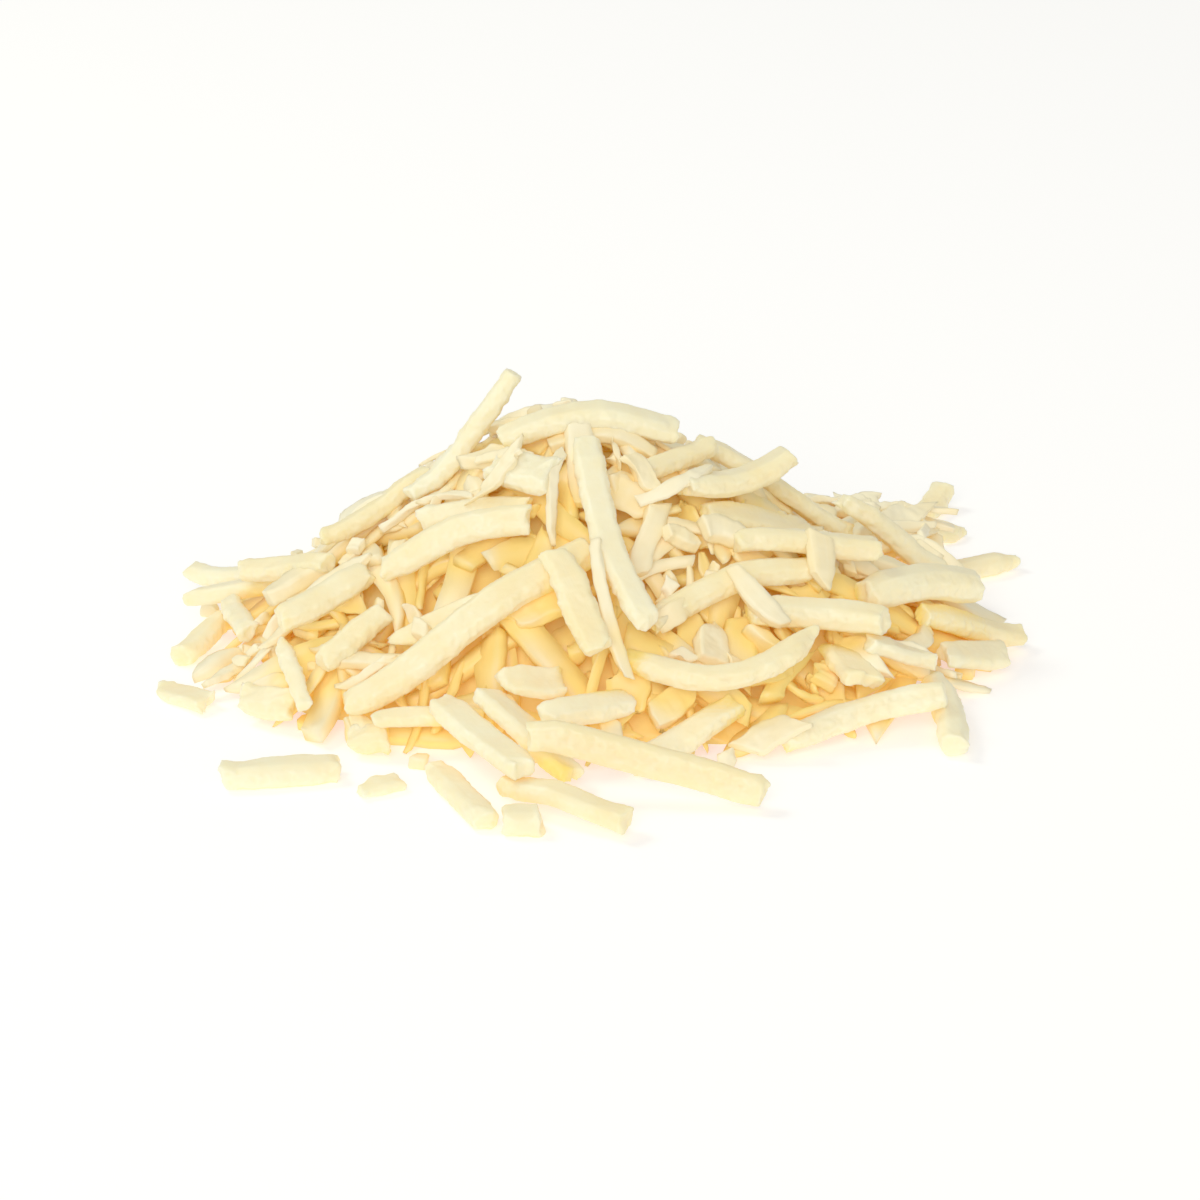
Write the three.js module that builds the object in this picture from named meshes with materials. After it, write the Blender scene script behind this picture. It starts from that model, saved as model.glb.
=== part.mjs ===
// A loose heap of coarsely grated cheese, as it falls from a box grater onto a flat surface.
// Every large shred is its own solid. The many shreds inside the heap press together and cling, and
// are one solid, on whose slopes the others lie.
// Millimetres, +Z up, +X to the right and +Y to the back of the heap. The origin is on the surface
// that the heap lies on, under the middle of its outline.
import * as THREE from "three";

// The heart of the heap: the shreds that are packed inside it.
const heartHalfWidth = 54;
const heartHalfDepth = 38;
const heartHeight = 34.5;
const heartFoot = 1.2; // thickness of the heart's rim, about half a shred
const heartMiddle = { x: 0, y: 5 };
const heartLean = { x: -3, y: 1 }; // how far the crest stands from the middle of the foot
const heartSides = 40;
const heartRings = 9;

// A shred as the grater cuts it.
const shredWidth = 4.2;
const shredThickness = 2.6;
const stationStep = 3.6; // distance between the cross-sections along a shred
const cornerShare = 0.28; // share of the thickness that a long edge is rounded by
const tipLength = 4; // stretch over which a shred narrows at each end

// How shreds lie on one another.
const restGap = 0.3; // left between two shreds that touch
const mostLean = 32; // degrees that a shred tips sideways to follow a slope
const sagPerStation = 0.06; // how far a shred sags at each section of a free span

const cheese = { color: 0xf3e2b0, roughness: 0.5, metalness: 0 };

// The shreds, in the order in which they fell. from and to are where the two ends lie, seen from
// above. What is left out is 0 or the usual size.
//   bow    how far the middle swings to the left of the straight way from one end to the other
//   roll   degrees turned about its own length, so that 90 stands on an edge
//   twist  degrees of turn from one end to the other
//   lift   how far each end stands up from where it would lie
//   arch   how far the middle stands up
//   narrow share of the width and thickness that each end loses, 0.2 and 0.12 where left out
const strayShreds = [
  { name: "left_stray_block", from: [-58, -1], to: [-53, 9], width: 3.6, thickness: 3.2 },
  { name: "left_stray_chip", from: [-52, 7], to: [-48, -4], width: 3.2, thickness: 2.6 },
  { name: "left_stray_flake", from: [-60, -9], to: [-53, -16], width: 4.6, thickness: 1.8,
    lift: [0, 1] },
  { name: "front_left_stray_shred", from: [-49, -40], to: [-34, -37], width: 4.6, thickness: 3.4,
    twist: 15 },
  { name: "front_left_stray_flake", from: [-31, -43], to: [-26, -39], width: 4.4, thickness: 1.8,
    narrow: [0.5, 0.1] },
  { name: "front_stray_shred", from: [-21, -37], to: [-14, -53], width: 4, thickness: 3 },
  { name: "front_stray_block", from: [-12, -53], to: [-7, -53], width: 5, thickness: 3.6,
    narrow: [0.1, 0.1] },
  { name: "right_stray_shred", from: [46, -14], to: [48, -31], width: 4.2, thickness: 3.6, bow: 0.8 },
  { name: "right_stray_flake", from: [48, -8], to: [57, -2], width: 5, thickness: 2.2, twist: 20 },
  { name: "back_right_stray_chip", from: [50, 54], to: [53, 60], width: 4, thickness: 3, lift: [0, 2] },
  { name: "back_right_stray_flake", from: [47, 52], to: [54, 46], width: 5, thickness: 2 },
];

const footShreds = [
  { name: "right_foot_shred", from: [45, -5], to: [60, 6], width: 3.8, thickness: 3, lift: [1, 0] },
  { name: "right_tip_shred", from: [46, 27], to: [62, 35], width: 3.6, thickness: 3.2,
    narrow: [0, 0.5] },
  { name: "back_right_foot_shred", from: [37, 38], to: [50, 33], width: 5, thickness: 4 },
  { name: "left_tip_shred", from: [-59, 25], to: [-44, 15], width: 3.2, thickness: 2.6,
    lift: [2, 0], bow: -1, narrow: [0, 0.4] },
  { name: "left_foot_shred", from: [-58, 12], to: [-43, 8], width: 3.6, thickness: 2.4 },
  { name: "left_foot_block", from: [-48, -18], to: [-41, -22], width: 5, thickness: 3.2 },
  { name: "left_leaning_sliver", from: [-43, -14], to: [-39, -26], width: 2.4, thickness: 2 },
  { name: "front_left_foot_block", from: [-33, -29], to: [-28, -30], width: 5, thickness: 3.6 },
  { name: "front_left_foot_sliver", from: [-30, -31], to: [-15, -29], width: 2.8, thickness: 2.2,
    bow: 1 },
  { name: "front_tail_shred", from: [-12, -45], to: [4, -55], width: 4, thickness: 2.6 },
  { name: "front_pale_shred", from: [-21, -30], to: [-9, -47], width: 5, thickness: 2.4 },
  { name: "front_pale_flake", from: [-15, -31], to: [-3, -42], width: 5.6, thickness: 2.2 },
  { name: "front_right_foot_shred", from: [5, -36], to: [19, -28], width: 4, thickness: 3,
    lift: [0, 1.5] },
  { name: "right_front_long_shred", from: [25, -31], to: [47, -24], width: 3.8, thickness: 2.8,
    bow: 2, roll: 35 },
  { name: "right_front_broad_shred", from: [33, -15], to: [36, -24], width: 6, thickness: 2.2 },
  { name: "right_front_flake", from: [37, -17], to: [46, -15], width: 5, thickness: 2.2, twist: -25 },
  { name: "front_edge_shred", from: [-9, -44], to: [22, -47], width: 4.4, thickness: 2.8,
    roll: 62, bow: 1.5, arch: 1 },
];

const slopeShreds = [
  { name: "left_slope_upper_shred", from: [-50, 8], to: [-37, -3], width: 3.6 },
  { name: "left_outline_shred", from: [-38, 0], to: [-23, 7], width: 3.2, lift: [1, 2] },
  { name: "left_edge_shred", from: [-43, -15], to: [-31, -8], width: 4.2, thickness: 3.4, roll: 35 },
  { name: "left_slope_lower_shred", from: [-37, -20], to: [-29, -14], width: 3.8, thickness: 3 },
  { name: "left_slope_leaf", from: [-28, -18], to: [-12, -18], width: 3.8, thickness: 1.6,
    narrow: [0.8, 0.3] },
  { name: "left_crest_shred", from: [-24, -6], to: [-9, -9], width: 3.6 },
  { name: "left_flat_shred", from: [-29, -10], to: [-9, -13], width: 4.2, thickness: 3, roll: 30 },
  { name: "crest_chunk", from: [-14, -3], to: [-6, -8], width: 6, thickness: 3.4 },
  { name: "long_diagonal_shred", from: [-34, -26], to: [-1, -14], width: 4.8, thickness: 3.4, bow: -3 },
  { name: "front_short_shred", from: [-7, -36], to: [4, -29], width: 4.2, thickness: 3 },
  { name: "front_middle_flake", from: [-13, -30], to: [-4, -28], width: 5.6, thickness: 1.8,
    narrow: [0.5, 0.2] },
  { name: "front_fall_shred", from: [-5.5, -19], to: [0.5, -30], width: 4.8, thickness: 2.8 },
  { name: "back_centre_shred", from: [-12, 24], to: [16, 30], bow: 3 },
  { name: "back_left_long_shred", from: [-36, 20], to: [-14, 36], bow: -2 },
  { name: "back_foot_shred", from: [-20, 42], to: [8, 46], bow: 2 },
  { name: "back_fall_shred", from: [4, 14], to: [8, 36], width: 4.4 },
  { name: "back_right_slope_shred", from: [16, 22], to: [32, 38], bow: 2 },
  { name: "back_right_upper_shred", from: [14, 12], to: [36, 18], bow: -2, width: 4.6 },
  { name: "back_left_foot_shred", from: [-46, 28], to: [-26, 42] },
  { name: "right_back_shred", from: [35, 17], to: [50, 20], width: 4.2, thickness: 3 },
  { name: "right_broad_shred", from: [37, -9], to: [53, 3], width: 5.4, thickness: 4.4 },
  { name: "right_long_shred", from: [21, -17], to: [39, -16], width: 4.6, thickness: 3.6, bow: 1.5 },
  { name: "right_bend_shred", from: [7, -21], to: [29, -10], width: 3.8, thickness: 3.2, bow: 1 },
  { name: "right_slope_flake", from: [15, -6], to: [29, 0], width: 5, thickness: 2.2 },
  { name: "right_hook_shred", from: [19, -10], to: [39, -5], width: 4, thickness: 3, twist: 25 },
  { name: "smile_shred", from: [4, -25], to: [30, -21], width: 3.6, thickness: 3.2,
    bow: -6, lift: [0, 6.5], narrow: [0.2, 0.6] },
];

const crestShreds = [
  { name: "crest_spike_shred", from: [-26, 2], to: [-11.5, 7], width: 3, thickness: 2.8, lift: [0, 10.5] },
  { name: "crest_low_shred", from: [6, -4], to: [16, 5], width: 3.2, lift: [0, 2] },
  { name: "crest_right_shred", from: [12, -5], to: [26.5, 3.5], width: 5.2, thickness: 3.2, lift: [0, 7] },
  { name: "crest_arch_shred", from: [-13, 1], to: [11, 4], width: 4.6, thickness: 3.2, arch: 2 },
];

const toppingShreds = [
  { name: "centre_fall_shred", from: [-1.3, -1.3], to: [7, -26.5], width: 4.2, thickness: 2.6, bow: -1.8 },
];

const degrees = THREE.MathUtils.degToRad;

// Heights of what has been laid so far, on a square grid seen from above.
class LaidSurface {
  constructor(halfSide, cell) {
    this.cell = cell;
    this.halfSide = halfSide;
    this.side = Math.ceil((2 * halfSide) / cell);
    // The bare surface lies one gap low, so that what rests on it touches it.
    this.tops = new Float32Array(this.side * this.side).fill(-restGap);
  }

  column(distance) {
    return Math.floor((distance + this.halfSide) / this.cell);
  }

  // The highest top in the cell that holds a point and in the cells around it.
  heightAt(x, y) {
    return this.heightOfCell(this.column(x), this.column(y));
  }

  heightOfCell(column, row) {
    let highest = -restGap;
    for (let r = row - 1; r <= row + 1; r++) {
      for (let c = column - 1; c <= column + 1; c++) {
        highest = Math.max(highest, this.tops[r * this.side + c]);
      }
    }
    return highest;
  }

  // Calls visit with the column, the row and the height for each cell that a mesh's faces cover.
  overCells(mesh, visit) {
    mesh.updateMatrixWorld(true);
    const places = mesh.geometry.getAttribute("position");
    const corners = [new THREE.Vector3(), new THREE.Vector3(), new THREE.Vector3()];
    for (let first = 0; first < places.count; first += 3) {
      corners.forEach((corner, i) => {
        corner.fromBufferAttribute(places, first + i).applyMatrix4(mesh.matrixWorld);
      });
      this.overTriangle(corners, visit);
    }
  }

  overTriangle([a, b, c], visit) {
    const area = (b.x - a.x) * (c.y - a.y) - (c.x - a.x) * (b.y - a.y);
    if (Math.abs(area) < 1e-6) return;
    const lastColumn = this.column(Math.max(a.x, b.x, c.x));
    const lastRow = this.column(Math.max(a.y, b.y, c.y));
    for (let row = this.column(Math.min(a.y, b.y, c.y)); row <= lastRow; row++) {
      const y = (row + 0.5) * this.cell - this.halfSide;
      for (let column = this.column(Math.min(a.x, b.x, c.x)); column <= lastColumn; column++) {
        const x = (column + 0.5) * this.cell - this.halfSide;
        const shareB = ((x - a.x) * (c.y - a.y) - (c.x - a.x) * (y - a.y)) / area;
        const shareC = ((b.x - a.x) * (y - a.y) - (x - a.x) * (b.y - a.y)) / area;
        if (shareB < 0 || shareC < 0 || shareB + shareC > 1) continue;
        visit(column, row, a.z + shareB * (b.z - a.z) + shareC * (c.z - a.z));
      }
    }
  }

  add(mesh) {
    this.overCells(mesh, (column, row, height) => {
      const cell = row * this.side + column;
      this.tops[cell] = Math.max(this.tops[cell], height);
    });
  }

  // How far a mesh has to go up to clear what lies under it by the gap, or down where this is below 0.
  riseNeeded(mesh) {
    let rise = -Infinity;
    this.overCells(mesh, (column, row, height) => {
      rise = Math.max(rise, this.heightOfCell(column, row) + restGap - height);
    });
    return rise;
  }
}

// The heart's outline is not round: it bulges where the grater dropped more.
function footBulge(angle) {
  return 1 + 0.02 * Math.cos(3 * angle + 1.2) + 0.015 * Math.cos(7 * angle);
}

// Share of the heart's height at a share of its radius: a blunt crest, straight slopes and a flat hem.
function slopeShare(radiusShare) {
  const blunt = 0.2;
  const cone = Math.hypot(1, blunt) - Math.hypot(radiusShare, blunt);
  return cone / (Math.hypot(1, blunt) - blunt);
}

function heartMesh() {
  const profile = [new THREE.Vector2(0, 0)];
  for (let ring = heartRings; ring >= 0; ring--) {
    const share = ring / heartRings;
    if (ring === heartRings) profile.push(new THREE.Vector2(1, 0));
    profile.push(new THREE.Vector2(share, heartFoot + (heartHeight - heartFoot) * slopeShare(share)));
  }
  const geometry = new THREE.LatheGeometry(profile, heartSides).rotateX(Math.PI / 2).toNonIndexed();
  const places = geometry.getAttribute("position");
  const place = new THREE.Vector3();
  for (let i = 0; i < places.count; i++) {
    place.fromBufferAttribute(places, i);
    const angle = Math.atan2(place.y, place.x);
    const share = place.z / heartHeight;
    const lump = 1 + 0.05 * Math.sin(5 * angle + 9 * share) * Math.min(1, 4 * share);
    const swell = footBulge(angle) * lump;
    place.x = place.x * heartHalfWidth * swell + heartLean.x * share;
    place.y = place.y * heartHalfDepth * swell + heartLean.y * share;
    places.setXYZ(i, place.x, place.y, place.z);
  }
  const heart = namedMesh("packed_inner_shreds", geometry);
  heart.position.set(heartMiddle.x, heartMiddle.y, 0);
  return heart;
}

function namedMesh(name, geometry) {
  geometry.deleteAttribute("uv");
  geometry.computeVertexNormals();
  const mesh = new THREE.Mesh(geometry, new THREE.MeshStandardMaterial(cheese));
  mesh.name = name;
  return mesh;
}

// The cross-section: a bar with its four long edges rounded off.
function sectionOutline(width, thickness) {
  const cut = cornerShare * Math.min(width, thickness);
  const [x, y] = [width / 2, thickness / 2];
  return [
    [x, cut - y], [x, y - cut], [x - cut, y], [cut - x, y],
    [-x, y - cut], [-x, cut - y], [cut - x, -y], [x - cut, -y],
  ].map(([across, up]) => new THREE.Vector2(across, up));
}

// Share of the full section at a distance from each end.
function tipShare(fromStart, fromEnd, [narrowStart, narrowEnd]) {
  const near = (distance) => Math.max(0, 1 - distance / tipLength) ** 2;
  return (1 - narrowStart * near(fromStart)) * (1 - narrowEnd * near(fromEnd));
}

function smoothed(values) {
  return values.map((value, i) => {
    const before = values[Math.max(0, i - 1)];
    const after = values[Math.min(values.length - 1, i + 1)];
    return (before + 2 * value + after) / 4;
  });
}

// The heights of a shred that spans from bump to bump over the heights it can't go below.
function spanOver(floors) {
  let heights = [...floors];
  const last = floors.length - 1;
  for (let pass = 0; pass < 80; pass++) {
    for (let i = 0; i <= last; i++) {
      let free = 0;
      if (i === 0) free = 2 * heights[1] - heights[Math.min(2, last)];
      else if (i === last) free = 2 * heights[last - 1] - heights[Math.max(0, last - 2)];
      else free = (heights[i - 1] + heights[i + 1]) / 2;
      heights[i] = Math.max(floors[i], free - sagPerStation);
    }
  }
  heights = smoothed(smoothed(heights));
  const short = Math.max(...heights.map((height, i) => floors[i] - height));
  return heights.map((height) => height + Math.max(0, short));
}

// Makes one shred, bent over what lies under it, and lays it there.
function layShred(surface, shred) {
  const { name, from, to, width = shredWidth, thickness = shredThickness, narrow = [0.2, 0.12] } = shred;
  const { bow = 0, roll = 0, twist = 0, lift = [0, 0], arch = 0 } = shred;
  const way = new THREE.Vector2(to[0] - from[0], to[1] - from[1]);
  const span = way.length();
  const heading = way.angle();
  const middle = new THREE.Vector2((from[0] + to[0]) / 2, (from[1] + to[1]) / 2);
  const steps = Math.max(2, Math.round(span / stationStep));
  const outline = sectionOutline(width, thickness);

  // The route in the shred's own frame, which runs along +X through its middle.
  const stations = Array.from({ length: steps + 1 }, (_, i) => {
    const share = i / steps;
    const along = (share - 0.5) * span;
    const aside = 4 * bow * share * (1 - share);
    const turn = Math.atan((4 * bow * (1 - 2 * share)) / span);
    const place = new THREE.Vector2(along, aside).rotateAround(new THREE.Vector2(), heading).add(middle);
    const side = new THREE.Vector2(0, 1).rotateAround(new THREE.Vector2(), heading + turn);
    return { share, along, aside, turn, place, side };
  });

  // It tips sideways with the slope, unless it stands on an edge.
  const reach = 0.4 * width;
  const leans = stations.map(({ place, side }) => {
    const left = surface.heightAt(place.x + reach * side.x, place.y + reach * side.y);
    const right = surface.heightAt(place.x - reach * side.x, place.y - reach * side.y);
    return Math.atan2(left - right, 2 * reach);
  });
  const lean = leans.reduce((sum, one) => sum + one, 0) / leans.length;
  const limit = degrees(mostLean) * Math.cos(degrees(roll));
  stations.forEach((station) => {
    const ownRoll = degrees(roll + twist * (station.share - 0.5));
    station.roll = THREE.MathUtils.clamp(lean, -limit, limit) + ownRoll;
  });

  const floors = stations.map(({ place, side, roll: tip }) => {
    const needed = outline.map((point) => {
      const across = point.x * Math.cos(tip) - point.y * Math.sin(tip);
      const up = point.x * Math.sin(tip) + point.y * Math.cos(tip);
      return surface.heightAt(place.x + across * side.x, place.y + across * side.y) + restGap - up;
    });
    return Math.max(...needed);
  });
  spanOver(floors).forEach((height, i) => {
    const { share } = stations[i];
    const raised = lift[0] * (1 - share) ** 2 + lift[1] * share ** 2 + 4 * arch * share * (1 - share);
    stations[i].height = height + raised;
  });
  const midHeight = stations[Math.round(steps / 2)].height;
  stations.forEach((station, i) => {
    const before = stations[Math.max(0, i - 1)];
    const after = stations[Math.min(steps, i + 1)];
    station.climb = Math.atan2(after.height - before.height, after.along - before.along);
  });

  const shape = new THREE.Shape(outline);
  const geometry = new THREE.ExtrudeGeometry(shape, { depth: span, steps, bevelEnabled: false });
  const places = geometry.getAttribute("position");
  for (let i = 0; i < places.count; i++) {
    const at = stations[Math.round((places.getZ(i) / span) * steps)];
    const share = tipShare(at.share * span, (1 - at.share) * span, narrow);
    const across = share * (places.getX(i) * Math.cos(at.roll) - places.getY(i) * Math.sin(at.roll));
    const up = share * (places.getX(i) * Math.sin(at.roll) + places.getY(i) * Math.cos(at.roll));
    const forward = -up * Math.sin(at.climb);
    places.setXYZ(
      i,
      at.along + forward * Math.cos(at.turn) - across * Math.sin(at.turn),
      at.aside + forward * Math.sin(at.turn) + across * Math.cos(at.turn),
      at.height - midHeight + up * Math.cos(at.climb),
    );
  }

  const mesh = namedMesh(name, geometry);
  mesh.position.set(middle.x, middle.y, midHeight);
  mesh.rotation.z = heading;
  mesh.position.z += surface.riseNeeded(mesh);
  mesh.position.z -= Math.min(0, new THREE.Box3().setFromObject(mesh, true).min.z);
  surface.add(mesh);
  return mesh;
}

// Moves the heap so that the middle of its outline is over the origin.
function centred(heap) {
  const middle = new THREE.Box3().setFromObject(heap, true).getCenter(new THREE.Vector3());
  heap.position.set(-middle.x, -middle.y, 0);
  return new THREE.Group().add(heap);
}

const surface = new LaidSurface(80, 0.4);
const heap = new THREE.Group();
const heart = heartMesh();
heap.add(heart);
surface.add(heart);
for (const shred of [...strayShreds, ...footShreds, ...slopeShreds, ...crestShreds, ...toppingShreds]) {
  heap.add(layShred(surface, shred));
}

export default centred(heap);
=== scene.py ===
import math
import random
import bpy
import bmesh
import numpy as np
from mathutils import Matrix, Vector, noise
from mathutils.bvhtree import BVHTree


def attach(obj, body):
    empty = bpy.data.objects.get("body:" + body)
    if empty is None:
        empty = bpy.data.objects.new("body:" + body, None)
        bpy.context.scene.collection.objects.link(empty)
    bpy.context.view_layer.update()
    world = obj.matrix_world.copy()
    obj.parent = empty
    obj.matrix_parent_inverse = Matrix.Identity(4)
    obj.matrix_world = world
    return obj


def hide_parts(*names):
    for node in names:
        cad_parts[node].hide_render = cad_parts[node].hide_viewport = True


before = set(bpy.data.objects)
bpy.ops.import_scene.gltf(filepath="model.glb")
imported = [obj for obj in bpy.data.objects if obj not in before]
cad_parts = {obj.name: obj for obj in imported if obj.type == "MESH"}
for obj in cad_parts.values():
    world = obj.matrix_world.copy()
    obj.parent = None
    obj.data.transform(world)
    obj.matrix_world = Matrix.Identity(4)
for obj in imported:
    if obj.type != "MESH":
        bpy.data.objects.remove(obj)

mm = 0.001
noise.seed_set(3)             # without it the noise starts from the clock and every run differs
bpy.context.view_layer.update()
heartNode = "packed_inner_shreds"
shredNodes = sorted(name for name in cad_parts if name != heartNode)
print("frame loaded,", len(shredNodes), "shreds and the heart")


def linearColour(hexColour):
    channels = [int(hexColour[i:i + 2], 16) / 255 for i in (1, 3, 5)]
    return [c / 12.92 if c <= 0.04045 else ((c + 0.055) / 1.055) ** 2.4 for c in channels] + [1]


def addNode(tree, kind, settings=None, inputs=None):
    node = tree.nodes.new(kind)
    for name, value in (settings or {}).items():
        setattr(node, name, value)
    for name, value in (inputs or {}).items():
        if isinstance(value, bpy.types.NodeSocket):
            tree.links.new(value, node.inputs[name])
        else:
            node.inputs[name].default_value = value
    return node


# Mild young cheese, grated cold: a waxy, slightly oily surface that light sinks into, so thin
# edges glow; the deep warm yellow of the gaps between shreds is painted shade, mixed into the colour by
# depth.
cheeseLook = {
    "pale": "#faf3c8",
    "deep": "#f8df98",
    "gap": "#ffd65a",             # painted warm shade deep between shreds: the colour light takes after passing through cheese often
    "roughness": 0.42,
    "ior": 1.45,
    "sinking": 0.8,               # share of the light that goes in, for single shreds
    "lightDepth": 1.5 * mm,       # how far light travels inside
    "mottleSize": 5 * mm,         # soft patches of fat and protein
    "streakWidth": 0.5,           # mm, marks that the grater's teeth drag along a shred
    "streakLength": 7,            # mm
    "pitSize": 0.7 * mm,
    "reliefDepth": 0.06 * mm,
}


def makeCheese(name, sinking):
    # sinking is the share of light that goes in and comes out again, which softens single shreds;
    # where many shreds run through each other in one mesh it would leave grey stains
    look = cheeseLook
    material = bpy.data.materials.new(name)
    material.use_nodes = True
    tree = material.node_tree
    tree.nodes.clear()
    place = addNode(tree, "ShaderNodeTexCoord").outputs["Object"]
    # grain runs along each shred, in mm; tone differs from shred to shred
    grain = addNode(tree, "ShaderNodeAttribute", {"attribute_name": "grain"}).outputs["Vector"]
    tone = addNode(tree, "ShaderNodeAttribute", {"attribute_name": "tone"}).outputs["Fac"]
    streakScale = (1 / look["streakLength"], 1 / look["streakWidth"], 1 / look["streakWidth"])
    stretched = addNode(tree, "ShaderNodeMapping", {}, {"Vector": grain, "Scale": streakScale})
    streaks = addNode(tree, "ShaderNodeTexNoise", {}, {
        "Vector": stretched.outputs[0], "Scale": 0.5, "Detail": 3, "Roughness": 0.6})
    mottle = addNode(tree, "ShaderNodeTexNoise", {}, {
        "Vector": place, "Scale": 1 / look["mottleSize"], "Detail": 3, "Roughness": 0.55})
    pits = addNode(tree, "ShaderNodeTexNoise", {}, {
        "Vector": place, "Scale": 1 / look["pitSize"], "Detail": 2, "Roughness": 0.5})
    patches = addNode(tree, "ShaderNodeMath", {"operation": "MULTIPLY_ADD"}, {
        0: mottle.outputs[0], 1: 1.1, 2: -0.3})
    toned = addNode(tree, "ShaderNodeMath", {"operation": "MULTIPLY_ADD"}, {
        0: tone, 1: 0.5, 2: patches.outputs[0]})
    streaked = addNode(tree, "ShaderNodeMath", {"operation": "MULTIPLY_ADD"}, {
        0: streaks.outputs[0], 1: 0.35, 2: toned.outputs[0]})
    colour = addNode(tree, "ShaderNodeMix", {"data_type": "RGBA"}, {
        0: streaked.outputs[0], 6: linearColour(look["pale"]), 7: linearColour(look["deep"])})
    # painted shade: the gaps' golden colour, mixed in by how deep a point lies under the heap's outside
    paintedShadeAmount = addNode(tree, "ShaderNodeAttribute", {"attribute_name": "paintedShadeAmount"}).outputs["Fac"]
    withPaintedShade = addNode(tree, "ShaderNodeMix", {"data_type": "RGBA"}, {
        0: paintedShadeAmount, 6: colour.outputs[2], 7: linearColour(look["gap"])})
    relief = addNode(tree, "ShaderNodeMath", {"operation": "MULTIPLY_ADD"}, {
        0: pits.outputs[0], 1: 0.5, 2: streaks.outputs[0]})
    bump = addNode(tree, "ShaderNodeBump", {}, {
        "Height": relief.outputs[0], "Distance": look["reliefDepth"], "Strength": 0.8})
    # fat smears make the surface glossier in patches
    sheen = addNode(tree, "ShaderNodeMapRange", {}, {
        "Value": mottle.outputs[0], "From Min": 0.3, "From Max": 0.7,
        "To Min": look["roughness"] - 0.07, "To Max": look["roughness"] + 0.1})
    surface = addNode(tree, "ShaderNodeBsdfPrincipled", {}, {
        "Base Color": withPaintedShade.outputs[2], "Roughness": sheen.outputs[0], "IOR": look["ior"],
        "Normal": bump.outputs[0], "Subsurface Weight": sinking,
        "Subsurface Radius": (1.0, 1.0, 0.9), "Subsurface Scale": look["lightDepth"]})
    addNode(tree, "ShaderNodeOutputMaterial", {}, {"Surface": surface.outputs[0]})
    return material


cheese = makeCheese("youngCheese", cheeseLook["sinking"])
packedCheese = makeCheese("youngCheesePacked", 0)


def finishPiece(name, mesh, nodes, material):
    mesh.polygons.foreach_set("use_smooth", [True] * len(mesh.polygons))
    mesh.materials.clear()
    mesh.materials.append(material)
    piece = bpy.data.objects.new(name, mesh)
    bpy.context.scene.collection.objects.link(piece)
    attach(piece, "root")
    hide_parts(*nodes)
    return piece


# The shreds that the frame names, one piece each: the cut bars get torn edges, drag marks and ends
# that broke off unevenly.
namedShred = {
    "cutEvery": 1.8 * mm,
    "waveSize": 7 * mm,           # slow changes of width
    "waveDepth": 0.3 * mm,
    "tearSize": 1.4 * mm,         # torn sides, while the broad faces stay smooth
    "tearDepth": 0.26 * mm,
    "dentDepth": 0.05 * mm,
    "endDepth": 1.3 * mm,         # how unevenly the ends break
    "voxel": 0.28 * mm,
    "lumpy": {"crest_chunk": 2.2},  # pieces that crumbled instead of being cut
}


def grainFrame(points):
    # the shred's long way and how it curves, from its own points
    flat = points[:, :2] - points[:, :2].mean(0)
    long = np.linalg.svd(flat, full_matrices=False)[2][0]
    along = flat @ long
    across = flat @ np.array([-long[1], long[0]])
    across = across - np.polyval(np.polyfit(along, across, 2), along)
    up = points[:, 2] - np.polyval(np.polyfit(along, points[:, 2], 2), along)
    return np.stack([along, across, up], 1)


def pointsOf(mesh):
    points = np.empty(len(mesh.vertices) * 3, np.float32)
    mesh.vertices.foreach_get("co", points)
    return points.reshape(-1, 3)


def markGrain(mesh, tone):
    count = len(mesh.vertices)
    grain = grainFrame(pointsOf(mesh)) / mm
    mesh.attributes.new("grain", "FLOAT_VECTOR", "POINT").data.foreach_set("vector", grain.ravel())
    mesh.attributes.new("tone", "FLOAT", "POINT").data.foreach_set("value", [tone] * count)


def remeshed(mesh, voxel):
    holder = bpy.data.objects.new("remeshing", mesh)
    bpy.context.scene.collection.objects.link(holder)
    skin = holder.modifiers.new("skin", "REMESH")
    skin.mode = "VOXEL"
    skin.voxel_size = voxel
    made = bpy.data.meshes.new_from_object(holder.evaluated_get(bpy.context.evaluated_depsgraph_get()))
    bpy.data.objects.remove(holder)
    bpy.data.meshes.remove(mesh)
    return made


def tornCopy(node, seed):
    look = namedShred
    lumpy = look["lumpy"].get(node, 1)
    away = Vector((seed * 1.7, seed * 0.9, seed * 2.3))
    bm = bmesh.new()
    bm.from_mesh(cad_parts[node].data)
    bmesh.ops.remove_doubles(bm, verts=bm.verts, dist=0.01 * mm)
    longEdges = [e for e in bm.edges if e.calc_length() > look["cutEvery"]]
    bmesh.ops.subdivide_edges(bm, edges=longEdges, cuts=2)
    along = grainFrame(np.array([v.co for v in bm.verts]))[:, 0]
    half = max(abs(along))
    for vert, distance in zip(bm.verts, along):
        wave = noise.noise_vector(vert.co / look["waveSize"] + away) * look["waveDepth"]
        lump = noise.noise_vector(vert.co / (2 * mm) - away) * look["waveDepth"] * (lumpy - 0.5)
        atEnd = max(0, 1 - (half - abs(distance)) / (2.5 * mm))
        ragged = noise.noise_vector(vert.co / (2.2 * mm) + 2 * away) * look["endDepth"] * atEnd
        vert.co += wave + lump + ragged
    mesh = bpy.data.meshes.new(node)
    bm.to_mesh(mesh)
    bm.free()
    mesh = remeshed(mesh, look["voxel"])
    tearSides(mesh, away)
    return mesh


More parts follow.
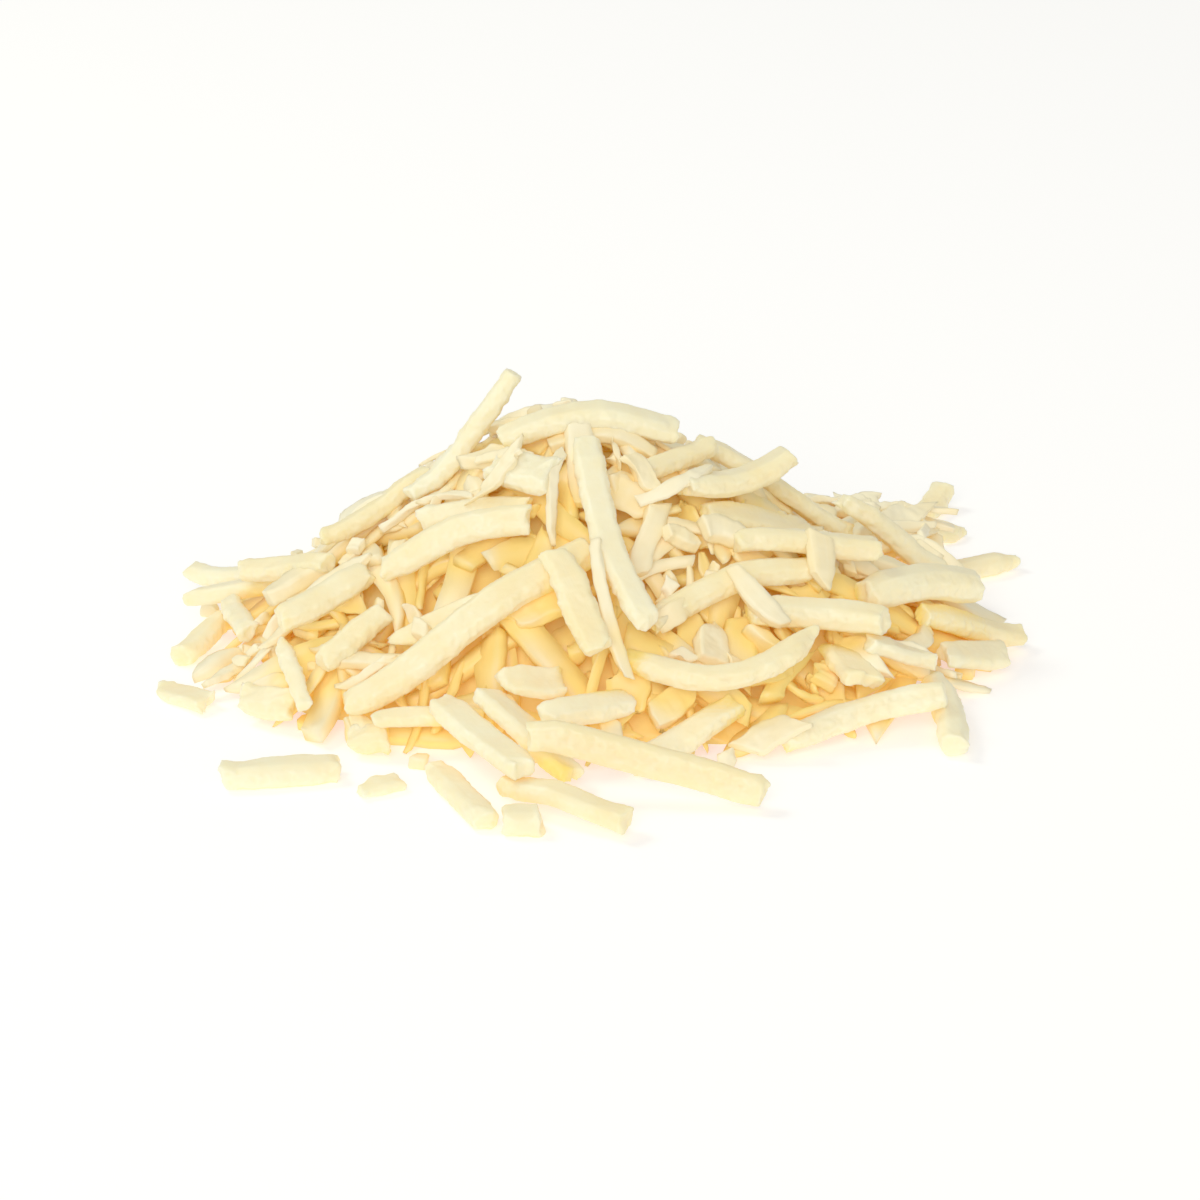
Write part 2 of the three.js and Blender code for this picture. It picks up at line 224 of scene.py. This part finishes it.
def tearSides(mesh, away):
    look = namedShred
    bm = bmesh.new()
    bm.from_mesh(mesh)
    bmesh.ops.smooth_vert(bm, verts=bm.verts, factor=0.5, use_axis_x=True, use_axis_y=True,
                          use_axis_z=True)
    bm.normal_update()
    for vert in bm.verts:
        side = min(1, max(0, (0.8 - abs(vert.normal.z)) / 0.35))
        coarse = noise.noise(vert.co / look["tearSize"] + away)
        fine = noise.noise(vert.co / (0.4 * look["tearSize"]) - away)
        tear = (coarse + 0.4 * fine) * look["tearDepth"] * side
        vert.co += vert.normal * (tear + fine * look["dentDepth"])
        vert.co.z = max(vert.co.z, 0.02 * mm)  # it rests on the surface
    bm.to_mesh(mesh)
    bm.free()


tones = random.Random(11)
for number, node in enumerate(shredNodes):
    mesh = tornCopy(node, number)
    markGrain(mesh, tones.random())
    finishPiece(node + "_torn", mesh, [node], cheese)
print("named shreds torn")


# Heights on square cells, seen from above, that the small shreds are dropped onto.
bed = {"cell": 0.5 * mm, "halfX": 70 * mm, "halfY": 66 * mm}
columns = int(2 * bed["halfX"] / bed["cell"])
rows = int(2 * bed["halfY"] / bed["cell"])
centresX = (np.arange(columns) + 0.5) * bed["cell"] - bed["halfX"]
centresY = (np.arange(rows) + 0.5) * bed["cell"] - bed["halfY"]


def treeOf(names):
    bm = bmesh.new()
    for name in names:
        bm.from_mesh(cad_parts[name].data)
    tree = BVHTree.FromBMesh(bm)
    bm.free()
    return tree


def castMap(tree, fromHeight, direction, missing):
    heights = np.full((rows, columns), float(missing))
    for row in range(rows):
        for column in range(columns):
            place = (centresX[column], centresY[row], fromHeight)
            hit = tree.ray_cast(place, (0, 0, direction))[0]
            if hit:
                heights[row, column] = hit.z
    return heights


def cellsOf(x, y):
    column = np.clip(((x + bed["halfX"]) / bed["cell"]).astype(int), 0, columns - 1)
    row = np.clip(((y + bed["halfY"]) / bed["cell"]).astype(int), 0, rows - 1)
    return row, column


shredTree = treeOf(shredNodes)
heartTop = castMap(treeOf([heartNode]), 0.1, -1, 0)
namedTop = castMap(shredTree, 0.1, -1, 0)
namedUnder = castMap(shredTree, -0.01, 1, 1)
print("bed measured")


# The unit shapes that the small shreds are bent from, lying along X.
def unitShape(name, lengthCuts, widthCuts, crease):
    bm = bmesh.new()
    bmesh.ops.create_cube(bm, size=1)
    for axis, cuts in ((0, lengthCuts), (1, widthCuts)):
        if cuts:
            edges = [e for e in bm.edges if abs(e.verts[0].co[axis] - e.verts[1].co[axis]) > 0.9]
            bmesh.ops.subdivide_edges(bm, edges=edges, cuts=cuts, use_grid_fill=True)
    creases = bm.edges.layers.float.new("crease_edge")
    for edge in bm.edges:
        middle = (edge.verts[0].co + edge.verts[1].co) / 2
        onRim = sum(abs(abs(value) - 0.5) < 1e-4 for value in middle) > 1
        edge[creases] = crease if onRim else 0
    mesh = bpy.data.meshes.new(name)
    bm.to_mesh(mesh)
    bm.free()
    return mesh


unitShapes = {
    "bar": unitShape("unitBar", 7, 0, 0.75),
    "flake": unitShape("unitFlake", 6, 2, 0.7),
    "crumb": unitShape("unitCrumb", 1, 1, 0.4),
}
unitPoints = {kind: pointsOf(mesh) for kind, mesh in unitShapes.items()}


def stationsOf(spec):
    # the way of a shred seen from above, as places, directions to its left and distances along it
    count = max(4, int(spec["length"] / (2.2 * mm)) + 1)
    share = np.linspace(-0.5, 0.5, count)
    along = share * spec["length"]
    aside = spec["bow"] * (1 - 4 * share ** 2) + spec.get("wave", 0) * np.sin(6.3 * share)
    turn = np.arctan2(np.gradient(aside), np.gradient(along)) + spec["heading"]
    cos, sin = math.cos(spec["heading"]), math.sin(spec["heading"])
    x = spec["x"] + along * cos - aside * sin
    y = spec["y"] + along * sin + aside * cos
    return {"share": share, "along": along, "x": x, "y": y,
            "sideX": -np.sin(turn), "sideY": np.cos(turn)}


def spanned(floors, sag):
    # heights that bridge from bump to bump and never go below the floors
    heights = floors.copy()
    for _ in range(40):
        heights[1:-1] = np.maximum(floors[1:-1], (heights[:-2] + heights[2:]) / 2 - sag)
        heights[0] = max(floors[0], 2 * heights[1] - heights[2] - sag)
        heights[-1] = max(floors[-1], 2 * heights[-2] - heights[-3] - sag)
    padded = np.concatenate([heights[:1], heights, heights[-1:]])
    return (padded[:-2] + 2 * padded[1:-1] + padded[2:]) / 4


acrossShares = np.array([-0.5, -0.25, 0, 0.25, 0.5])


def bentOver(spec, floor):
    # bends a shred over the floor map and returns its stations with heights and tilts
    way = stationsOf(spec)
    reach = 0.4 * spec["width"]
    left = floor[cellsOf(way["x"] + reach * way["sideX"], way["y"] + reach * way["sideY"])]
    right = floor[cellsOf(way["x"] - reach * way["sideX"], way["y"] - reach * way["sideY"])]
    lean = np.arctan2(np.mean(left - right), 2 * reach)
    tilt = np.clip(lean, -0.6, 0.6) + spec["roll"] + spec["twist"] * way["share"]
    way["tilt"] = tilt
    offsets = acrossShares * spec["width"]
    across = offsets[None, :] * np.cos(tilt)[:, None]
    rise = offsets[None, :] * np.sin(tilt)[:, None]
    under = floor[cellsOf(way["x"][:, None] + across * way["sideX"][:, None],
                          way["y"][:, None] + across * way["sideY"][:, None])]
    floors = (under - rise).max(1) + spec["thick"] / 2 - 0.25 * mm
    way["z"] = spanned(floors, 0.05 * mm)
    return way


def placesAt(way, shares):
    return {key: np.interp(shares, way["share"], way[key])
            for key in ("x", "y", "z", "sideX", "sideY", "tilt")}


def covered(spec, way):
    # the cells that a laid shred covers, and the heights of its top and underside in them
    u = np.linspace(-0.5, 0.5, max(4, int(spec["length"] / (0.4 * mm))))
    v = np.linspace(-0.5, 0.5, max(3, int(spec["width"] / (0.4 * mm)))) * spec["width"]
    at = {key: values[:, None] for key, values in placesAt(way, u).items()}
    flat = v[None, :] * np.cos(at["tilt"])
    cells = cellsOf(at["x"] + flat * at["sideX"], at["y"] + flat * at["sideY"])
    middle = at["z"] + v[None, :] * np.sin(at["tilt"])
    half = spec["thick"] / 2 * np.cos(at["tilt"])
    return cells, middle + half, middle - half


def warped(spec, way, rng):
    # the unit shape's points, bent along the shred, with torn sides and ends
    points = unitPoints[spec["kind"]].copy()
    jitter = rng.normal(0, 1, points.shape)
    u = np.clip(points[:, 0] + jitter[:, 0] * spec["ragged"] * 0.6 / spec["length"], -0.53, 0.53)
    u = u + points[:, 1] * spec["slant"] * (abs(points[:, 0]) > 0.45)
    ends = np.where(points[:, 0] < 0, spec["taper"][0], spec["taper"][1])
    taper = 1 - ends * (np.clip(2 * abs(points[:, 0]) - 0.4, 0, 1) / 0.6) ** 2
    swell = 1 + spec["swell"] * np.sin(5 * points[:, 0] + spec["phase"])
    v = points[:, 1] * spec["width"] * taper * swell + jitter[:, 1] * spec["ragged"]
    w = points[:, 2] * spec["thick"] * (0.5 + 0.5 * taper) + jitter[:, 2] * spec["ragged"] * 0.45
    inside = np.clip(u, -0.5, 0.5)
    at = placesAt(way, inside)
    over = (u - inside) * spec["length"]
    slope = np.interp(inside, way["share"], np.gradient(way["z"], way["along"]))
    flat = v * np.cos(at["tilt"]) - w * np.sin(at["tilt"])
    up = v * np.sin(at["tilt"]) + w * np.cos(at["tilt"])
    ahead = over - up * np.sin(np.arctan(slope))
    x = at["x"] + flat * at["sideX"] + ahead * at["sideY"]
    y = at["y"] + flat * at["sideY"] - ahead * at["sideX"]
    z = at["z"] + up * np.cos(np.arctan(slope)) + over * slope
    grain = np.stack([points[:, 0] * spec["length"], v, w], 1) / mm
    return np.stack([x, y, np.maximum(z, 0.05 * mm)], 1), grain + spec["phase"] * 7


# Torn surfaces of the small shreds, which share one soft noise.
groupLook = {"tearSize": 1.3 * mm, "tearDepth": 0.45 * mm}
tornTexture = bpy.data.textures.new("torn", "CLOUDS")
tornTexture.noise_scale = groupLook["tearSize"]
tornTexture.noise_depth = 2


class ShredGroup:
    def __init__(self):
        self.bm = bmesh.new()
        self.bm.verts.layers.float_vector.new("grain")
        self.bm.verts.layers.float.new("tone")
        self.count = 0

    def add(self, kind, points, grains, tone):
        first = len(self.bm.verts)
        self.bm.from_mesh(unitShapes[kind])
        self.bm.verts.ensure_lookup_table()
        grainLayer = self.bm.verts.layers.float_vector["grain"]
        toneLayer = self.bm.verts.layers.float["tone"]
        for index, (point, grain) in enumerate(zip(points, grains)):
            vert = self.bm.verts[first + index]
            vert.co = point
            vert[grainLayer] = grain
            vert[toneLayer] = tone
        self.count += 1

    def finish(self, name, levels):
        mesh = bpy.data.meshes.new(name)
        self.bm.to_mesh(mesh)
        self.bm.free()
        piece = finishPiece(name, mesh, [heartNode], packedCheese)
        rounding = piece.modifiers.new("rounding", "SUBSURF")
        rounding.levels = rounding.render_levels = levels
        tearing = piece.modifiers.new("tearing", "DISPLACE")
        tearing.texture = tornTexture
        tearing.texture_coords = "LOCAL"
        tearing.mid_level = 0.5
        tearing.strength = groupLook["tearDepth"]


groups = {}


def groupFor(layer, spec):
    quarter = int((math.atan2(spec["y"], spec["x"]) + math.pi) / (math.pi / 2)) % 4
    side = ("FrontLeft", "FrontRight", "BackRight", "BackLeft")[quarter]
    return groups.setdefault(layer + side, ShredGroup())


def lay(spec, way, floor, rng, layer):
    points, grains = warped(spec, way, rng)
    groupFor(layer, spec).add(spec["kind"], points, grains, spec["tone"])
    cells, top, _ = covered(spec, way)
    np.maximum.at(floor, cells, top)


# The kinds of small shred, in mm: thick bars from the middle of the block, thin shavings, torn flakes
# and crumbs.
smallKinds = {
    "bar": {"shape": "bar", "length": (8, 23), "width": (2.6, 4.4), "thick": (1.2, 2.3),
            "bow": 0.09, "twist": 0.5, "ragged": (0.1, 0.22)},
    "shaving": {"shape": "bar", "length": (6, 17), "width": (1.0, 2.6), "thick": (0.6, 1.1),
                "bow": 0.14, "twist": 1.3, "ragged": (0.08, 0.2)},
    "flake": {"shape": "flake", "length": (4.5, 10), "width": (3, 5.6), "thick": (0.7, 1.5),
              "bow": 0.06, "twist": 0.6, "ragged": (0.15, 0.32)},
    "point": {"shape": "flake", "length": (4, 8), "width": (3, 5), "thick": (1, 2),
              "bow": 0, "twist": 0.2, "ragged": (0.12, 0.25)},
    "crumb": {"shape": "crumb", "length": (1.4, 3.4), "width": (1.2, 2.8), "thick": (1.0, 2.4),
              "bow": 0, "twist": 0, "ragged": (0.2, 0.5)},
}


def randomSpec(rng, x, y, share, kind=None):
    kind = kind or rng.choice(list(share), p=list(share.values()))
    sizes = smallKinds[kind]
    length = rng.uniform(*sizes["length"]) * mm
    width = rng.uniform(*sizes["width"]) * mm
    return {
        "kind": sizes["shape"], "x": x, "y": y, "heading": rng.uniform(0, math.pi), "length": length,
        "width": width, "thick": rng.uniform(*sizes["thick"]) * mm,
        "bow": rng.normal(0, sizes["bow"]) * length, "wave": rng.normal(0, 0.02) * length,
        "roll": rng.normal(0, 0.25), "twist": rng.normal(0, sizes["twist"]),
        "ragged": rng.uniform(*sizes["ragged"]) * mm,
        "taper": rng.choice([0.05, 0.4, 0.85], 2, p=[0.45, 0.3, 0.25]),
        "slant": rng.normal(0, 0.5) * width / length, "swell": rng.uniform(0, 0.16),
        "phase": rng.uniform(0, 6.3), "tone": rng.random(),
    }


# The many shreds inside, dropped a few deep over a core that is out of sight.
innerShreds = {
    "tries": 5600, "seed": 4, "picks": 10, "depth": 6 * mm, "proud": 0.9 * mm,
    "clearance": 0.35 * mm,       # how far one may rise past a named shred's underside
    "fullWithin": 1 * mm,         # a place this near its goal needs no more
    "edgeHeight": 2.6 * mm,       # the heart counts as at least this high at its thin edge
    "highest": 1.6 * mm,          # over the heart, for all but the top share of a shred
    "topShare": 0.15,
    "share": {"bar": 0.66, "shaving": 0.1, "flake": 0.18, "crumb": 0.06},
}

floor = np.maximum(heartTop - innerShreds["depth"], 0)
inHeart = heartTop > 0.5 * mm
heartCells = np.argwhere(inHeart)


def dropInner():
    sizes = innerShreds
    rng = np.random.default_rng(sizes["seed"])
    goal = np.where(inHeart, np.minimum(heartTop + sizes["proud"], namedUnder), 0)
    laid = 0
    for _ in range(sizes["tries"]):
        picks = heartCells[rng.integers(0, len(heartCells), sizes["picks"])]
        wanting = goal[picks[:, 0], picks[:, 1]] - floor[picks[:, 0], picks[:, 1]]
        row, column = picks[np.argmax(wanting)]
        if wanting.max() < sizes["fullWithin"]:
            continue
        spec = randomSpec(rng, centresX[column], centresY[row], sizes["share"])
        way = bentOver(spec, floor)
        cells, top, _ = covered(spec, way)
        if (top - namedUnder[cells]).max() > sizes["clearance"]:
            continue
        over = top - np.maximum(heartTop[cells], sizes["edgeHeight"])
        if np.quantile(over, 1 - sizes["topShare"]) > sizes["highest"]:
            continue
        lay(spec, way, floor, rng, "inner")
        laid += 1
    return laid


print("inner shreds:", dropInner())


# Small shreds, flakes and curls that have their own places: where the two ends lie in mm, width,
# thickness and how far the middle swings aside.
placedShreds = {
    "seed": 8,
    "between": [
        ("second_arch", "bar", (-7, -2.5), (7.5, -1), 2.2, 1.8, 0.6),
        ("behind_left", "bar", (-3, -1), (-2, -10), 4.0, 2.0, 0),
        ("behind_fall", "bar", (8, -9), (5, -17), 3.4, 2.0, 0),
        ("crest_left_lump", "flake", (-17, -1), (-11, -5), 3.6, 2.0, 0.8),
        ("right_small", "bar", (9, -13), (13, -12), 2.2, 2.0, 0),
        ("right_lump", "bar", (14, -12), (20, -11), 3.2, 2.4, 0.5),
        ("right_grainy", "crumb", (8, -22), (12, -21), 3.6, 3.2, 0),
        ("right_nub", "crumb", (21, -21), (24, -20), 3.2, 2.8, 0),
        ("right_point", "point", (15, -26), (15, -20), 4.4, 2.0, 0),
        ("left_triangle", "point", (-5, -21), (-13, -23), 5.0, 1.8, 0),
        ("front_triangle", "point", (7, -32), (13, -28), 3.8, 1.6, 0),
        ("front_low", "crumb", (0, -34), (3, -34), 4.0, 2.5, 0),
        ("right_chip", "bar", (30, -24), (31, -20), 3.2, 1.8, 0),
        ("right_upright", "point", (36, -22), (33, -15), 5.2, 1.8, 0),
        ("right_curved", "bar", (45, -7), (41, -14), 2.6, 1.6, 1.2),
        ("right_curved_foot", "flake", (37, -16), (45, -15), 4.4, 1.6, 0),
        ("thin_flake", "shaving", (-20, -29), (-11, -30.5), 2.6, 1.1, 0.6),
        ("left_thin", "bar", (-37, -21), (-25, -23), 2.2, 1.8, 0.6),
        ("left_high", "bar", (-36, 1), (-27, 5), 3.2, 2.2, 0.4),
        ("left_low", "bar", (-46, -6), (-38, -4), 3.6, 2.4, 0.6),
        ("front_block", "bar", (-34, -30), (-31, -29), 3.6, 2.6, 0),
    ],
    "over": [
        ("crest_wing", "point", (4, -6), (8, -9), 2.8, 0.9, 0.4),
        ("crest_ribbon", "shaving", (5, -10), (15, -3), 1.8, 0.9, -2.4),
        ("crest_shaving", "shaving", (-4.8, -5.5), (-6.6, -15.5), 1.5, 0.9, -0.8),
        ("curl_front", "shaving", (-0.5, -19), (4, -31), 1.8, 0.9, -1.6),
        ("right_bridge", "bar", (30, -10.5), (30, -15), 4.0, 1.6, 0.3),
        ("right_rough", "bar", (18, -17), (25, -22), 2.6, 2.0, -0.8),
        ("right_low", "flake", (19, -34.5), (27, -33), 3.4, 1.2, 0.6),
        ("diagonal_block", "crumb", (-25, -21), (-23, -23), 2.6, 2.2, 0),
        ("crest_lace_high", "shaving", (-17, -4), (-11, -8), 1.3, 0.9, 1.2),
        ("crest_lace_low", "point", (-11, -7), (-17, -10), 2.2, 0.9, 0.6),
        ("crest_lace_end", "crumb", (-19, -6), (-16, -7), 1.8, 1.4, 0),
    ],
}


def layPlaced(pieces, floor, rng):
    for name, kind, start, end, width, thick, bow in pieces:
        start, end = Vector(start) * mm, Vector(end) * mm
        spec = randomSpec(rng, (start.x + end.x) / 2, (start.y + end.y) / 2, None, kind)
        spec.update(heading=math.atan2(end.y - start.y, end.x - start.x), length=(end - start).length,
                    width=width * mm, thick=thick * mm, bow=bow * mm, roll=0)
        spec["taper"] = (0.1, 0.95) if kind == "point" else (0.1, 0.3)
        lay(spec, bentOver(spec, floor), floor, rng, "outer")


isNamed = namedTop > heartTop
placing = np.random.default_rng(placedShreds["seed"])
layPlaced(placedShreds["between"], floor, placing)
floor = np.maximum(floor, np.where(isNamed, namedTop, 0))
layPlaced(placedShreds["over"], floor, placing)
print("placed shreds laid")


# A low lobe of loose shreds behind on the right.
backLobe = {
    "seed": 5, "centre": (38, 27), "spread": 6, "tries": 160, "most": 46, "highest": 12 * mm,
    "share": {"bar": 0.5, "shaving": 0.15, "flake": 0.35},
}


def dropLobe():
    rng = np.random.default_rng(backLobe["seed"])
    laid = 0
    for _ in range(backLobe["tries"]):
        x, y = (np.array(backLobe["centre"]) + rng.uniform(-1.4, 1.4, 2) * backLobe["spread"]) * mm
        spec = randomSpec(rng, x, y, backLobe["share"])
        spec["length"] = min(spec["length"], 14 * mm)
        way = bentOver(spec, floor)
        if laid < backLobe["most"] and way["z"].max() < backLobe["highest"]:
            lay(spec, way, floor, rng, "outer")
            laid += 1
    return laid


print("back lobe:", dropLobe())


# Shreds that fell last, between and partly over the named ones.
outerShreds = {
    "tries": 5000, "most": 520, "seed": 21, "picks": 6, "viewReach": 14 * mm,
    "share": {"bar": 0.45, "shaving": 0.25, "flake": 0.15, "crumb": 0.15},
    "mostOver": 0.1, "mostHiding": 0.12, "highest": 3.8 * mm,
}
heartTree = treeOf([heartNode])

# The camera looks down at the heap from the front.
cameraLook = {"target": (0, 0, 9.1 * mm), "distance": 0.6, "elevation": math.radians(23), "lens": 128.57}
viewWay = Vector((0, math.cos(cameraLook["elevation"]), -math.sin(cameraLook["elevation"])))


def hidingShare(spec, way):
    # how much of a laid shred stands before the named ones, seen from the front
    hiding = []
    for aside in (-0.4 * spec["width"], 0, 0.4 * spec["width"]):
        x, y = way["x"] + aside * way["sideX"], way["y"] + aside * way["sideY"]
        for place in zip(x, y, way["z"] + 0.6 * spec["thick"]):
            named = shredTree.ray_cast(place, viewWay, outerShreds["viewReach"])[3]
            heart = heartTree.ray_cast(place, viewWay, outerShreds["viewReach"])[3]
            hiding.append(named is not None and (heart is None or named < heart))
    return np.mean(hiding)


def dropOuter():
    sizes = outerShreds
    rng = np.random.default_rng(sizes["seed"])
    laid = 0
    for _ in range(sizes["tries"]):
        if laid >= sizes["most"]:
            break
        picks = heartCells[rng.integers(0, len(heartCells), sizes["picks"])]
        gaps = heartTop[picks[:, 0], picks[:, 1]] - floor[picks[:, 0], picks[:, 1]]
        row, column = picks[np.argmax(gaps)]
        spec = randomSpec(rng, centresX[column], centresY[row], sizes["share"])
        way = bentOver(spec, floor)
        cells, top, _ = covered(spec, way)
        if isNamed[cells].mean() > sizes["mostOver"]:
            continue
        if (top - np.maximum(heartTop[cells], 1.5 * mm)).max() > sizes["highest"]:
            continue
        if hidingShare(spec, way) > sizes["mostHiding"]:
            continue
        lay(spec, way, floor, rng, "outer")
        laid += 1
    return laid


print("outer shreds:", dropOuter())

# Crumbs and chips that rolled off onto the surface, most of them to the left and the front.
strayCrumbs = {"seed": 31, "count": 16, "share": {"crumb": 0.6, "flake": 0.4}}


def dropCrumbs():
    rng = np.random.default_rng(strayCrumbs["seed"])
    laid = 0
    while laid < strayCrumbs["count"]:
        angle = rng.normal(math.radians(205), 1.2)
        reach = rng.uniform(1.0, 1.12)
        x, y = 54 * mm * reach * math.cos(angle), (5 + 40 * reach * math.sin(angle)) * mm
        spec = randomSpec(rng, x, y, strayCrumbs["share"])
        spec["roll"], spec["twist"] = 0, 0
        spec["length"] = min(spec["length"], 5 * mm)
        way = bentOver(spec, floor)
        if way["z"].max() > 3 * mm:
            continue
        lay(spec, way, floor, rng, "outer")
        laid += 1


dropCrumbs()
for name, group in sorted(groups.items()):
    group.finish(name + "Shreds", 2 if name.startswith("outer") else 1)
print("groups:", {name: group.count for name, group in groups.items()})


# The core that the inner shreds lie on, seen only in the gaps, where it carries the painted warm shade.
def makeCore():
    bm = bmesh.new()
    bm.from_mesh(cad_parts[heartNode].data)
    bmesh.ops.remove_doubles(bm, verts=bm.verts, dist=0.01 * mm)
    bmesh.ops.subdivide_edges(bm, edges=bm.edges, cuts=1, use_grid_fill=True)
    for vert in bm.verts:
        lumps = noise.noise(vert.co / (4 * mm)) * 1.2 * mm
        vert.co.z += lumps - innerShreds["depth"]
    everything = list(bm.verts) + list(bm.edges) + list(bm.faces)
    cut = bmesh.ops.bisect_plane(bm, geom=everything, plane_co=(0, 0, 0.2 * mm), plane_no=(0, 0, 1),
                                 clear_inner=True)
    rim = [part for part in cut["geom_cut"] if isinstance(part, bmesh.types.BMEdge)]
    bmesh.ops.contextual_create(bm, geom=rim)
    bmesh.ops.recalc_face_normals(bm, faces=bm.faces)
    mesh = bpy.data.meshes.new("core")
    bm.to_mesh(mesh)
    bm.free()
    markGrain(mesh, 0.9)
    finishPiece("innerCore", mesh, [heartNode], packedCheese)


makeCore()
print("core made")


# How deep each point lies under the heap's outside, 0 to 1, which paints the golden shade of the gaps
# into the cheese's colour.
def blurred(heights, reach):
    kernel = np.hanning(2 * int(reach / bed["cell"]) + 3)[1:-1]
    for axis in (0, 1):
        heights = np.apply_along_axis(np.convolve, axis, heights, kernel / kernel.sum(), "same")
    return heights


def spread(heights, reach, choose):
    # the highest (np.max) or lowest (np.min) of the heights round each cell
    steps = range(-int(reach / bed["cell"]), int(reach / bed["cell"]) + 1)
    for axis in (0, 1):
        heights = choose([np.roll(heights, step, axis) for step in steps], axis=0)
    return heights


# reach and softness of the skin over the heap, and the depths over which the painted golden shade comes
# in
gapLook = {"reach": 2.5 * mm, "soft": 3 * mm, "from": 1.0 * mm, "over": 4 * mm}


def paintShadeByDepth(pieces):
    # a skin stretched over the heap, which bridges the hollows that are narrower than twice the reach
    skin = spread(spread(floor, gapLook["reach"], np.max), gapLook["reach"], np.min)
    skin = blurred(skin, gapLook["soft"])
    for piece in pieces:
        points = pointsOf(piece.data)
        depth = skin[cellsOf(points[:, 0], points[:, 1])] - points[:, 2]
        paintedShadeAmount = np.clip((depth - gapLook["from"]) / gapLook["over"], 0, 1)
        piece.data.attributes.new("paintedShadeAmount", "FLOAT", "POINT").data.foreach_set("value", paintedShadeAmount)


paintShadeByDepth([ob for ob in bpy.data.objects if ob.type == "MESH"
            and {cheese.name, packedCheese.name} & set(ob.data.materials.keys())])
print("depth marked")


# A flat white floor and large soft lamps: the main one high on the left and a little behind.
stageLook = {
    "floor": "#fbfaf8",
    "glow": 0.34,                 # the table is lit from below
    "floorSize": 3.0,
    "key": {"place": (-0.55, 0.12, 0.75), "size": 0.35, "power": 3.0, "colour": "#fbffee"},
    "front": {"place": (-0.3, -2.6, 1.5), "size": 1.8, "power": 60, "colour": "#fffaf2"},
    "sky": 0.36,
    "gamma": 1.8,                 # printed high-key: the gaps stay light
    "exposure": -0.25,
    "diffuseBounces": 14,         # light goes on between pale shreds for long
    "bounces": 16,
}


def makeStage():
    bm = bmesh.new()
    bmesh.ops.create_grid(bm, x_segments=1, y_segments=1, size=stageLook["floorSize"] / 2)
    mesh = bpy.data.meshes.new("floor")
    bm.to_mesh(mesh)
    bm.free()
    floorObject = bpy.data.objects.new("floor", mesh)
    bpy.context.scene.collection.objects.link(floorObject)
    paper = bpy.data.materials.new("matteWhitePaper")
    paper.use_nodes = True
    paper.node_tree.nodes.clear()
    surface = addNode(paper.node_tree, "ShaderNodeBsdfPrincipled", {}, {
        "Base Color": linearColour(stageLook["floor"]), "Roughness": 0.9, "Specular IOR Level": 0.1,
        "Emission Color": linearColour("#ffffff"), "Emission Strength": stageLook["glow"]})
    addNode(paper.node_tree, "ShaderNodeOutputMaterial", {}, {"Surface": surface.outputs[0]})
    mesh.materials.append(paper)


def makeLamp(name):
    look = stageLook[name]
    data = bpy.data.lights.new(name, "AREA")
    data.shape = "DISK"
    data.size = look["size"]
    data.energy = look["power"]
    data.color = linearColour(look["colour"])[:3]
    lamp = bpy.data.objects.new(name, data)
    lamp.location = look["place"]
    lamp.rotation_euler = (-Vector(look["place"])).to_track_quat("-Z", "Y").to_euler()
    bpy.context.scene.collection.objects.link(lamp)


def makeSky():
    world = bpy.data.worlds.new("studio")
    world.use_nodes = True
    background = world.node_tree.nodes["Background"]
    background.inputs["Color"].default_value = linearColour("#ffffff")
    background.inputs["Strength"].default_value = stageLook["sky"]
    bpy.context.scene.world = world


makeStage()
makeLamp("key")
makeLamp("front")
makeSky()
scene = bpy.context.scene
scene.view_settings.view_transform = "Standard"
scene.view_settings.gamma = stageLook["gamma"]
scene.view_settings.exposure = stageLook["exposure"]
scene.cycles.diffuse_bounces = stageLook["diffuseBounces"]
scene.cycles.max_bounces = stageLook["bounces"]
print("stage lit")


def makeCamera():
    data = bpy.data.cameras.new("camera")
    data.lens = cameraLook["lens"]
    data.sensor_width = 36
    camera = bpy.data.objects.new("camera", data)
    camera.location = Vector(cameraLook["target"]) - viewWay * cameraLook["distance"]
    camera.rotation_euler = viewWay.to_track_quat("-Z", "Y").to_euler()
    bpy.context.scene.collection.objects.link(camera)
    bpy.context.scene.camera = camera


makeCamera()
